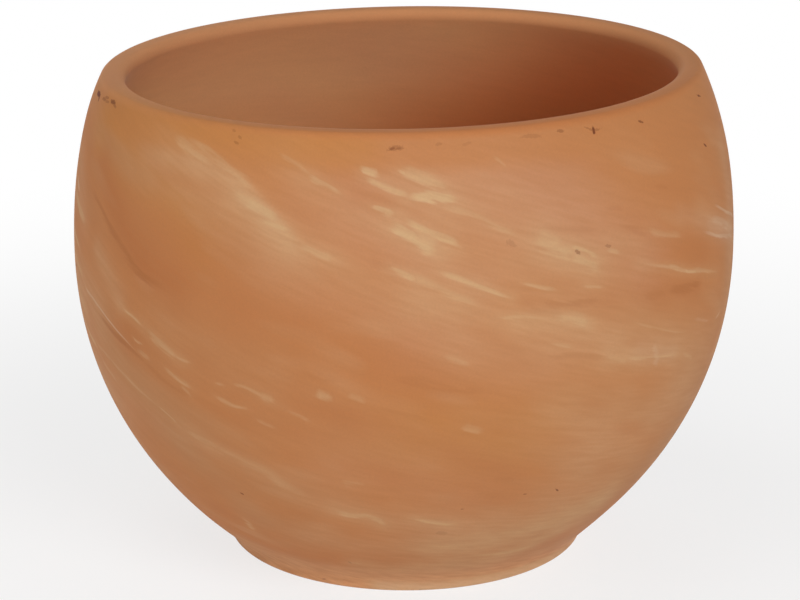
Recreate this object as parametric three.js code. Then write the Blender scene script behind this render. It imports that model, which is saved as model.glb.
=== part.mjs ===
// A round, globe-shaped plant pot of fired terracotta, thrown and fired as one piece of clay.
// It has a short foot, a full belly, a shoulder that draws in to a wide mouth, a thick rounded
// lip and one drain hole through its floor. Millimetres, +Z up. The origin is the centre of
// the foot, on the ground. Every outline point is a pair: distance from the axis, height.
import * as THREE from 'three';

// ---- driving dimensions ----
const BELLY_RADIUS = 130;     // widest half-width of the pot
const BELLY_HEIGHT = 121;     // height of that widest circle
const RIM_HEIGHT = 192.1;     // top of the lip, halfway between its high and its low side
const RIM_SLANT = 1.9;        // the lip stands this much higher at +X and lower at -X
const SLANT_STRETCH = 34;     // height of the part under the lip that takes up the slant
const WALL = 9.5;             // thickness of the clay at the belly

// ---- foot and floor ----
const FOOT_RADIUS = 71.6;     // outer edge of the foot where it meets the ground
const FOOT_HEIGHT = 4.7;      // upright band of the foot below the bowl
const FOOT_FLARE = 1.7;       // how far that band widens to its top
const FOOT_BEVEL = 0.9;       // worn edge between the foot and the ground
const FOOT_SHIFT = 0.8;       // the outside of the foot stands this far off centre, towards +X
const SHIFT_STRETCH = 20;     // height of the part above the ground that takes up the shift
const RECESS_RADIUS = 50;     // shallow hollow under the floor, inside the foot
const RECESS_DEPTH = 2;
const RECESS_SLOPE = 3;       // width of the hollow's sloping edge
const DRAIN_RADIUS = 11;      // water drains through this hole
const FLOOR_TOP = 14;         // upper surface of the floor inside
const FLOOR_RADIUS = 38;      // the floor is flat out to here

// ---- bowl and shoulder, as directions and handle lengths of smooth curves ----
const BOWL_START_ANGLE = THREE.MathUtils.degToRad(45);  // the bowl leaves the foot at this slope
const BOWL_START_HANDLE = 13;
const BOWL_BELLY_HANDLE = 70.5;
const SHOULDER_BELLY_HANDLE = 14;
const SHOULDER_TOP_HANDLE = 28;
const INNER_BELLY_HANDLE = 60;     // inside of the bowl, below the belly
const INNER_FLOOR_HANDLE = 34;     // inside of the bowl, out from the flat floor
const INNER_SHOULDER_HANDLE = 26;  // inside of the shoulder, both ends

// ---- lip ----
const LIP_SLOPE = THREE.MathUtils.degToRad(64);  // slope of the shoulder where the lip begins
const LIP_OUTER_ROUND = 2.5;       // radius of the lip's outer edge
const LIP_INNER_ROUND = 3.5;       // radius of the lip's softer inner edge
const LIP_OUTER_CENTRE = 114.5;    // distance from the axis to the centre of the outer edge
const LIP_WIDTH = 3.7;             // level top between the two rounded edges

// ---- fineness of the faceted surface ----
const SEGMENTS = 72;               // facets round the pot
const BOWL_STEPS = 11;
const SHOULDER_STEPS = 8;
const OUTER_EDGE_STEPS = 4;
const INNER_EDGE_STEPS = 6;
const INNER_SHOULDER_STEPS = 7;
const INNER_BOWL_STEPS = 9;

const point = (radius, height) => new THREE.Vector2(radius, height);

function towards(from, angle, length) {
  return point(from.x + length * Math.cos(angle), from.y + length * Math.sin(angle));
}

function arcPoints(centre, radius, startAngle, endAngle, steps) {
  const arc = new THREE.EllipseCurve(centre.x, centre.y, radius, radius, startAngle, endAngle);
  return arc.getPoints(steps);
}

function curvePoints(start, startHandle, endHandle, end, steps) {
  return new THREE.CubicBezierCurve(start, startHandle, endHandle, end).getPoints(steps);
}

// Underside: the drain hole's lower edge, the shallow hollow, the flat foot and its upright band.
function footOutline() {
  return [
    point(DRAIN_RADIUS, RECESS_DEPTH),
    point(RECESS_RADIUS - RECESS_SLOPE, RECESS_DEPTH),
    point(RECESS_RADIUS, 0),
    point(FOOT_RADIUS - FOOT_BEVEL, 0),
    point(FOOT_RADIUS, FOOT_BEVEL),
  ];
}

// Outside of the bowl, from the foot up to the belly.
function bowlOutline() {
  const start = point(FOOT_RADIUS + FOOT_FLARE, FOOT_HEIGHT);
  const belly = point(BELLY_RADIUS, BELLY_HEIGHT);
  const startHandle = towards(start, BOWL_START_ANGLE, BOWL_START_HANDLE);
  const bellyHandle = point(BELLY_RADIUS, BELLY_HEIGHT - BOWL_BELLY_HANDLE);
  return curvePoints(start, startHandle, bellyHandle, belly, BOWL_STEPS);
}

// Lip: sharper outer edge, narrow level top and softer inner edge, tangent to one another and
// to the slopes of the shoulder outside and inside.
function lipOutline() {
  const outerCentre = point(LIP_OUTER_CENTRE, RIM_HEIGHT - LIP_OUTER_ROUND);
  const innerCentre = point(LIP_OUTER_CENTRE - LIP_WIDTH, RIM_HEIGHT - LIP_INNER_ROUND);
  const outerStart = Math.PI / 2 - LIP_SLOPE;
  const innerEnd = 1.5 * Math.PI - LIP_SLOPE;
  return [
    ...arcPoints(outerCentre, LIP_OUTER_ROUND, outerStart, Math.PI / 2, OUTER_EDGE_STEPS),
    ...arcPoints(innerCentre, LIP_INNER_ROUND, Math.PI / 2, innerEnd, INNER_EDGE_STEPS),
  ];
}

// Outside of the shoulder, from the belly up to where the lip begins.
function shoulderOutline(lipStart) {
  const belly = point(BELLY_RADIUS, BELLY_HEIGHT);
  const bellyHandle = point(BELLY_RADIUS, BELLY_HEIGHT + SHOULDER_BELLY_HANDLE);
  const lipHandle = towards(lipStart, -LIP_SLOPE, SHOULDER_TOP_HANDLE);
  return curvePoints(belly, bellyHandle, lipHandle, lipStart, SHOULDER_STEPS);
}

// Inside of the pot, from the lip down the wall to the flat floor and the drain hole.
function insideOutline(lipEnd) {
  const belly = point(BELLY_RADIUS - WALL, BELLY_HEIGHT);
  const upper = curvePoints(
    lipEnd,
    towards(lipEnd, -LIP_SLOPE, INNER_SHOULDER_HANDLE),
    point(belly.x, belly.y + INNER_SHOULDER_HANDLE),
    belly,
    INNER_SHOULDER_STEPS,
  );
  const lower = curvePoints(
    belly,
    point(belly.x, belly.y - INNER_BELLY_HANDLE),
    point(FLOOR_RADIUS + INNER_FLOOR_HANDLE, FLOOR_TOP),
    point(FLOOR_RADIUS, FLOOR_TOP),
    INNER_BOWL_STEPS,
  );
  return [...upper, ...lower, point(DRAIN_RADIUS, FLOOR_TOP)];
}

function potOutline() {
  const lip = lipOutline();
  const stretches = [
    footOutline(),
    bowlOutline(),
    shoulderOutline(lip[0]),
    lip,
    insideOutline(lip.at(-1)),
    [point(DRAIN_RADIUS, RECESS_DEPTH)],
  ];
  return stretches.flat().filter((here, i, all) => i === 0 || here.distanceTo(all[i - 1]) > 1e-6);
}

// The clay was trimmed slightly out of level, so the lip is higher on one side: near the lip,
// a point slides along the slope of the shoulder, up at +X and down at -X.
function slantRim(spot) {
  const radius = Math.hypot(spot.x, spot.y);
  const share = THREE.MathUtils.smoothstep(spot.z, RIM_HEIGHT - SLANT_STRETCH, RIM_HEIGHT);
  const rise = RIM_SLANT * share * (spot.x / radius);
  const newRadius = radius - rise / Math.tan(LIP_SLOPE);
  spot.set(spot.x * newRadius / radius, spot.y * newRadius / radius, spot.z + rise);
}

// The foot was trimmed slightly off centre: its outside stands a little towards +X, and the
// hollow and the drain hole inside it stay on the axis.
function shiftFoot(spot) {
  const radius = Math.hypot(spot.x, spot.y);
  const outer = THREE.MathUtils.smoothstep(radius, RECESS_RADIUS, FOOT_RADIUS - FOOT_BEVEL);
  const low = 1 - THREE.MathUtils.smoothstep(spot.z, 0, SHIFT_STRETCH);
  spot.x += FOOT_SHIFT * outer * low;
}

function trimByHand(geometry) {
  const position = geometry.attributes.position;
  const spot = new THREE.Vector3();
  for (let i = 0; i < position.count; i += 1) {
    spot.fromBufferAttribute(position, i);
    slantRim(spot);
    shiftFoot(spot);
    position.setXYZ(i, spot.x, spot.y, spot.z);
  }
}

function makePot() {
  const geometry = new THREE.LatheGeometry(potOutline(), SEGMENTS);
  geometry.rotateX(Math.PI / 2);
  trimByHand(geometry);
  geometry.computeVertexNormals();
  const terracotta = new THREE.MeshStandardMaterial({ color: 0xc48a62, roughness: 0.88, metalness: 0 });
  const pot = new THREE.Mesh(geometry, terracotta);
  pot.name = 'pot_body';
  return pot;
}

const planter = new THREE.Group();
planter.name = 'globe_planter';
planter.add(makePot());

export default planter;
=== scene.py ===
import math

import bpy
import numpy as np
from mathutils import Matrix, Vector


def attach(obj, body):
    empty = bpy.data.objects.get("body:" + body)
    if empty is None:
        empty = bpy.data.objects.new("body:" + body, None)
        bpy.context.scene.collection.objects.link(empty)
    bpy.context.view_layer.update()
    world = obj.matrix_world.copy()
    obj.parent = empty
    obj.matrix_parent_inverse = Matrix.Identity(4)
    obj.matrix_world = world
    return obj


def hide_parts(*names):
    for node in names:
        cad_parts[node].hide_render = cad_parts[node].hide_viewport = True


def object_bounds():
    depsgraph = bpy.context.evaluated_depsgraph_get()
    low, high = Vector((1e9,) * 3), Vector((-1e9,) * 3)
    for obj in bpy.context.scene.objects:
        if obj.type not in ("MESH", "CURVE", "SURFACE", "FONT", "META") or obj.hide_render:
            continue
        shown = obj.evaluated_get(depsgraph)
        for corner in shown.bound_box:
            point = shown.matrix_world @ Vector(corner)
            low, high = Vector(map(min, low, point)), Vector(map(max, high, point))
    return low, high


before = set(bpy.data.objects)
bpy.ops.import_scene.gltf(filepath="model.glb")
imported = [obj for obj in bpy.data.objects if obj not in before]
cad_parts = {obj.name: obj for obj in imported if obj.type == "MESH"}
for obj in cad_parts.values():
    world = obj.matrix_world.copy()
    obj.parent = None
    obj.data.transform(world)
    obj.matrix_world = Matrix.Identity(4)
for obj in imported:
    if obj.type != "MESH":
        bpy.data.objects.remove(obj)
CAD_LOW, CAD_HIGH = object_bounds()

MM = 0.001

# ---- the pot's outline. Distances are from its axis, heights from the ground, in metres ----
BELLY_RADIUS = CAD_HIGH.x
RIM_SLANT = 1.9 * MM            # the lip is this much higher at +X and lower at -X
RIM_HEIGHT = CAD_HIGH.z - RIM_SLANT
SLANT_STRETCH = 34 * MM         # height of the part under the lip that takes up the slant
BELLY_HEIGHT = 121 * MM
WALL = 9.5 * MM
FOOT_RADIUS, FOOT_HEIGHT, FOOT_FLARE, FOOT_ROUND = 71.6 * MM, 4.7 * MM, 1.7 * MM, 0.9 * MM
FOOT_SHIFT = 0.8 * MM           # the outside of the foot stands this far off centre, towards +X
SHIFT_STRETCH = 20 * MM         # height of the part above the ground that takes up the shift
RECESS_RADIUS, RECESS_DEPTH, RECESS_SLOPE = 50 * MM, 2 * MM, 3 * MM
DRAIN_RADIUS = 11 * MM
FLOOR_TOP, FLOOR_RADIUS = 14 * MM, 38 * MM
BOWL_START_ANGLE, BOWL_START_HANDLE, BOWL_BELLY_HANDLE = math.radians(45), 13 * MM, 70.5 * MM
SHOULDER_BELLY_HANDLE, SHOULDER_TOP_HANDLE = 14 * MM, 28 * MM
INNER_BELLY_HANDLE, INNER_FLOOR_HANDLE, INNER_SHOULDER_HANDLE = 60 * MM, 34 * MM, 26 * MM
LIP_SLOPE = math.radians(64)
LIP_OUTER_ROUND, LIP_INNER_ROUND = 2.5 * MM, 3.5 * MM
LIP_OUTER_CENTRE, LIP_WIDTH = 114.5 * MM, 3.7 * MM
AROUND = 480                    # mesh columns round the pot
WORN_ROWS, WORN_PASSES = 4, 12  # mesh rows and passes that wear the corner above the foot round
FOOT_STEPS = 4                  # mesh rows up the side of the foot
OUTSIDE_ROOM = 2.4              # the outside's room in the UV map, against 1 for the rest
COLLAR, COLLAR_FADE = 12 * MM, (-4 * MM, 3 * MM)    # plainer clay under the lip, its soft edge

# ---- the photograph's view ----
PHOTO_WIDTH, PHOTO_HEIGHT = 800, 600
CAMERA_DISTANCE = 1.04
CAMERA_ELEVATION = math.radians(17.344)
CAMERA_AIM = Vector((-0.0015, 0, 0.0951))
CAMERA_LENS, CAMERA_SENSOR = 116.84, 36      # millimetres
RAY_START, RAY_END, RAY_STEPS = 0.7, 1.3, 3001  # metres from the camera that hold the pot

# ---- light: name, azimuth, elevation, power in watts ----
LIGHTS = (
    ("key_softbox", 31.5, 28, 48),
    ("left_fill", -60, 8, 30.5),
    ("front_fill", 8, 8, 7),
    ("right_fill", 62, 28, 6),
    ("back_left", -105, 50, 11),
    ("top_left", -60, 72, 9),
    ("back", 180, 40, 8),
)
LIGHT_DISTANCE, LIGHT_WIDTH = 3.0, 1.6          # metres
LIGHT_AIM, LOWEST_LIGHT = 0.1, 0.55             # metres above the floor
FLOOR_COLOUR, FLOOR_HALF = 0.9, 8               # the floor's half width is in metres
FLOOR_GLOW_NEAR, FLOOR_GLOW_FAR = 0.75, 1.0     # share of plain white that the camera sees there
FLOOR_GLOW_START, FLOOR_GLOW_END = 0.10, 0.60   # metres from the pot's axis

# ---- the clays that were kneaded together, and the colours of painted light and shade, as linear colours ----
TERRACOTTA = (0.54, 0.219, 0.079)
RUSSET = (0.485, 0.172, 0.056)
ROSE = (0.565, 0.262, 0.134)
BUFF = (0.595, 0.318, 0.158)
KHAKI = (0.52, 0.256, 0.115)
CREAM = (0.64, 0.405, 0.212)
CHALK = (0.65, 0.425, 0.275)
AMBER = (0.545, 0.217, 0.055)
DARK_CLAY = (0.36, 0.115, 0.034)
SPECK = (0.11, 0.010, 0.002)
# Painted highlight on the lip: its lit side and its inner edge.
LIP_HIGHLIGHT = (0.72, 0.33, 0.15)
# Red clay of the front lip, deepened as painted shade against the sheen.
LIP_RED_SHADED = (0.545, 0.196, 0.064)
INSIDE = (0.66, 0.330, 0.147)
# Painted shadow of the rim inside the mouth, red with its bounced light.
INSIDE_RIM_SHADOW = (0.575, 0.166, 0.051)
# Painted shade, darker towards the +X wall of the lining and lower down.
INSIDE_FAR_SHADE = (0.49, 0.168, 0.050)
# Paler clay of the foot and the lowest bowl, partly painted light bounced from the floor.
FOOT_CLAY_AND_BOUNCE = (0.74, 0.395, 0.200)

# ---- marks on the side that the photograph shows ----
# Each row is a strength, a half width in millimetres, a softness of the edge from 0 to 1, and the
# places in the photograph, in its pixels, that the mark runs through.
CREAM_STREAKS = (
    # large pale band on the upper left
    (0.38, 1.6, 0.8, (187, 137), (208, 150), (222, 163), (240, 177), (258, 189)),
    (0.35, 2.0, 0.9, (174, 136), (184, 143), (197, 153), (211, 165)),
    (0.60, 2.1, 0.6, (245, 199), (256, 206), (266, 212), (278, 219)),
    (0.55, 0.9, 0.8, (262, 221), (273, 225), (290, 230)),
    (0.35, 1.2, 0.9, (234, 193), (243, 198), (253, 203)),
    (0.30, 1.0, 1.0, (279, 153), (291, 161), (301, 167), (311, 175)),
    (0.50, 1.1, 0.8, (308, 174), (317, 181), (329, 187), (342, 194)),
    (0.45, 1.5, 0.9, (299, 246), (311, 250), (322, 255), (334, 258)),
    # centre
    (0.70, 1.0, 0.7, (360, 168), (369, 171), (379, 175)),
    (0.60, 1.1, 0.9, (364, 177), (378, 183), (392, 189), (411, 196)),
    (0.50, 2.4, 0.9, (399, 169), (410, 174), (427, 178), (446, 187)),
    (0.60, 0.8, 0.7, (399, 170), (403, 172), (408, 174)),
    (0.50, 1.1, 0.7, (423, 182), (434, 184), (447, 189)),
    (0.80, 1.8, 0.6, (407, 198), (424, 196), (440, 197), (459, 199)),
    (0.30, 1.1, 1.0, (440, 205), (462, 211), (480, 218), (500, 228), (520, 237)),
    (0.75, 1.5, 0.7, (370, 207), (380, 210), (395, 215)),
    (0.70, 1.0, 0.8, (382, 212), (388, 214), (395, 215)),
    (0.65, 1.3, 0.8, (404, 218), (418, 226), (434, 234), (450, 241), (463, 250)),
    (0.75, 1.8, 0.6, (391, 224), (404, 233), (420, 243), (438, 253)),
    (0.45, 3.2, 1.0, (412, 228), (424, 236), (438, 245)),
    (0.35, 1.6, 1.0, (408, 272), (430, 284), (450, 294), (466, 300), (480, 306)),
    (0.55, 1.0, 0.8, (388, 268), (396, 270), (405, 274), (418, 280)),
    (0.60, 0.9, 0.9, (436, 270), (452, 276), (466, 281), (480, 287), (496, 293), (513, 298)),
    (0.60, 0.8, 0.8, (472, 283), (481, 287), (494, 292)),
    (0.26, 0.6, 0.9, (493, 156), (499, 160), (507, 167)),
    (0.30, 0.8, 1.0, (494, 226), (500, 229), (508, 232)),
    # patch on the right, with a scatter of short streaks
    (0.45, 2.8, 1.0, (534, 239), (548, 245), (562, 251), (576, 256)),
    (0.60, 1.6, 0.8, (555, 248), (562, 252), (569, 256)),
    (0.65, 0.8, 0.7, (569, 246), (580, 249), (598, 257)),
    (0.55, 2.0, 0.8, (571, 255), (584, 262), (600, 268)),
    (0.35, 2.0, 1.0, (538, 232), (549, 237), (562, 243)),
    (0.45, 0.8, 0.8, (607, 249), (613, 251), (620, 253)),
    (0.36, 0.8, 0.9, (639, 262), (656, 265), (672, 267), (686, 270), (699, 270), (719, 272)),
    (0.50, 0.9, 0.8, (667, 266), (674, 267), (681, 269)),
    (0.60, 0.7, 0.7, (683, 269), (690, 271), (698, 271)),
    (0.28, 1.2, 1.0, (646, 228), (656, 232), (668, 234), (682, 235)),
    (0.50, 0.8, 0.9, (520, 283), (530, 285), (542, 288), (558, 291)),
    (0.35, 0.6, 0.9, (582, 286), (592, 286), (604, 287)),
    # pale ground below it
    (0.45, 2.0, 0.9, (556, 318), (566, 318), (577, 319), (589, 323)),
    (0.35, 0.8, 0.9, (498, 318), (518, 317), (540, 318)),
    (0.30, 0.9, 1.0, (551, 344), (560, 345), (572, 346)),
    (0.28, 0.6, 0.9, (634, 322), (650, 327), (668, 331), (686, 333)),
    (0.45, 0.6, 0.8, (626, 357), (642, 358), (658, 357), (674, 354)),
    (0.25, 1.7, 1.0, (606, 358), (616, 359), (628, 361)),
    (0.30, 0.8, 1.0, (683, 353), (687, 355), (692, 359)),
    # thin arcs on the lower left
    (0.40, 0.5, 0.8, (133, 337), (137, 341), (142, 344)),
    (0.30, 1.2, 1.0, (138, 351), (143, 354), (150, 359)),
    (0.55, 0.9, 0.8, (123, 308), (131, 315), (142, 326)),
    (0.45, 1.7, 0.9, (146, 330), (155, 339), (164, 347), (179, 358)),
    (0.35, 0.8, 1.0, (174, 355), (182, 359), (191, 362)),
    (0.45, 1.3, 0.9, (164, 367), (172, 374), (181, 381), (192, 388)),
    (0.35, 0.7, 0.9, (181, 386), (186, 391), (191, 396)),
    (0.28, 0.8, 1.0, (95, 340), (107, 355), (118, 368), (130, 380), (141, 391), (152, 401), (162, 410)),
    (0.55, 0.6, 0.8, (158, 406), (168, 415), (178, 424)),
    (0.30, 1.2, 1.0, (102, 359), (109, 370), (117, 381)),
    (0.45, 0.8, 0.8, (215, 396), (224, 401), (234, 406), (247, 408)),
    (0.40, 0.6, 1.0, (215, 383), (219, 384), (223, 385)),
    (0.40, 0.9, 0.9, (233, 384), (246, 388), (258, 394), (268, 399)),
    (0.40, 1.8, 1.0, (259, 396), (266, 398), (274, 401)),
    (0.25, 0.8, 1.0, (288, 411), (299, 415), (310, 421)),
    (0.22, 0.8, 1.0, (256, 419), (266, 424), (276, 428)),
    (0.30, 1.6, 1.0, (187, 432), (197, 437), (207, 442), (219, 448)),
    # low on the bowl
    (0.24, 2.4, 1.0, (213, 445), (240, 459), (265, 471), (288, 486), (308, 497)),
    (0.50, 2.2, 1.0, (315, 394), (323, 396), (332, 399)),
    (0.28, 1.8, 1.0, (347, 396), (356, 399), (366, 402)),
    (0.28, 1.4, 1.0, (443, 356), (456, 359), (471, 363)),
    (0.32, 1.8, 1.0, (462, 426), (472, 429), (483, 431)),
    (0.25, 1.6, 1.0, (341, 481), (352, 483), (364, 484)),
    (0.45, 1.4, 0.9, (334, 510), (350, 515), (368, 516), (378, 520), (386, 525)),
    (0.50, 1.0, 0.8, (370, 518), (376, 520), (385, 525)),
    (0.45, 1.6, 1.0, (244, 518), (248, 523), (255, 531)),
    (0.55, 1.1, 0.8, (414, 519), (430, 522), (454, 525)),
    (0.42, 1.4, 0.9, (468, 556), (485, 555), (501, 553), (517, 550), (534, 545)),
    # Painted highlight along the foot's top edge.
    (0.40, 1.0, 0.9, (456, 581), (480, 577), (508, 571), (534, 563), (556, 553)),
    (0.22, 1.2, 1.0, (494, 534), (510, 532), (526, 530), (559, 526)),
    (0.35, 1.0, 1.0, (347, 562), (354, 563), (362, 564)),
)

# Whiter than the cream, like rubbed chalk.
CHALK_STREAKS = (
    (0.80, 0.7, 0.7, (714, 205), (722, 210), (733, 216)),
    (0.45, 1.5, 0.8, (710, 219), (717, 221), (729, 224)),
    (0.60, 0.8, 0.8, (703, 232), (712, 234), (722, 236), (732, 236)),
    (0.30, 1.6, 1.0, (655, 343), (655, 351), (656, 359), (656, 367)),
    (0.25, 0.8, 1.0, (694, 319), (701, 320), (709, 320)),
    (0.45, 0.6, 0.9, (715, 319), (717, 316), (720, 311)),
    # fine arc on the lower left
    (0.60, 0.6, 0.7, (86, 287), (95, 301), (105, 315), (115, 328), (128, 343), (135, 350)),
    (0.50, 0.6, 0.6, (85, 286), (92, 297), (100, 309)),
)

DARK_STREAKS = (
    # red line under the thin white arc
    (0.40, 1.0, 0.9, (97, 311), (106, 323), (115, 334), (125, 344), (136, 354), (148, 364)),
    (0.18, 1.8, 1.0, (140, 357), (153, 369), (165, 380), (177, 389), (192, 397)),
    # edge of the reddish ground on the upper left
    (0.40, 1.8, 1.0, (91, 186), (100, 205), (109, 224), (121, 246), (135, 267), (152, 281), (169, 292)),
    (0.16, 2.2, 1.0, (391, 375), (410, 381), (430, 388), (455, 391), (489, 390)),
    (0.14, 1.6, 1.0, (377, 407), (400, 413), (414, 417), (428, 422)),
    (0.12, 1.8, 1.0, (494, 478), (505, 480), (515, 480)),
    (0.22, 1.6, 1.0, (540, 305), (560, 305), (580, 303), (602, 300)),
    (0.14, 1.4, 1.0, (526, 310), (545, 311), (565, 313)),
    (0.34, 1.8, 1.0, (667, 291), (678, 290), (690, 287), (702, 282)),
    (0.15, 1.4, 1.0, (643, 297), (654, 296), (666, 294)),
    (0.18, 1.4, 1.0, (546, 357), (566, 355), (586, 356), (606, 358)),
    (0.16, 1.3, 1.0, (538, 226), (558, 229), (578, 230), (598, 230)),
    (0.14, 1.0, 1.0, (604, 207), (613, 208), (624, 209)),
    (0.16, 1.0, 1.0, (655, 186), (662, 187), (668, 188)),
    (0.14, 1.5, 1.0, (368, 261), (380, 265), (395, 268)),
    (0.16, 1.2, 1.0, (620, 226), (636, 231), (648, 236)),
    (0.10, 1.6, 1.0, (300, 372), (322, 378), (342, 379)),
)

# Small dark specks of iron and dirt. A row is a strength, a half width in millimetres and places.
SPECKS = (
    (0.92, 1.10, (98, 92), (100, 95)),
    (0.75, 0.80, (100, 94), (99, 99)),
    (0.40, 0.70, (103, 98), (106, 100)),
    (0.35, 0.60, (106, 97), (109, 98)),
    (0.30, 0.60, (106, 101), (109, 102)),
    (0.65, 0.85, (112, 101), (115, 103)),
    (0.35, 0.60, (114, 104), (116, 107)),
    (0.26, 0.95, (390, 149), (396, 148), (402, 148)),
    (0.55, 0.50, (391, 149), (394, 148)),
    (0.45, 0.45, (396, 149), (400, 148)),
    (0.15, 0.75, (523, 137), (531, 136), (540, 136)),
    (0.35, 0.60, (558, 131), (562, 131)),
    (0.80, 0.60, (593, 128), (594, 131), (594, 133)),
    (0.30, 0.50, (585, 127), (592, 130), (600, 129)),
    (0.60, 0.45, (639, 121), (642, 122)),
    (0.80, 0.45, (697, 95), (700, 96)),
    (0.80, 0.45, (704, 144), (706, 146)),
    (0.14, 0.55, (437, 144), (441, 144)),
    (0.11, 0.65, (464, 145), (469, 143)),
    (0.18, 0.50, (233, 130), (235, 131)),
    (0.22, 0.50, (239, 136), (241, 138)),
    (0.25, 0.50, (235, 142), (238, 143)),
    (0.42, 0.65, (576, 251), (579, 253)),
    (0.25, 0.65, (606, 246), (610, 246)),
    (0.14, 1.20, (509, 242), (513, 245)),
    (0.70, 0.40, (556, 489), (558, 491)),
    (0.35, 0.40, (524, 494), (526, 494)),
    (0.30, 0.35, (461, 509), (463, 509)),
    (0.70, 0.38, (241, 493), (243, 494)),
    (0.40, 0.35, (323, 579), (325, 579)),
    (0.35, 0.35, (349, 562), (351, 563)),
    (0.12, 1.40, (440, 533), (444, 533)),
)

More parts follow.
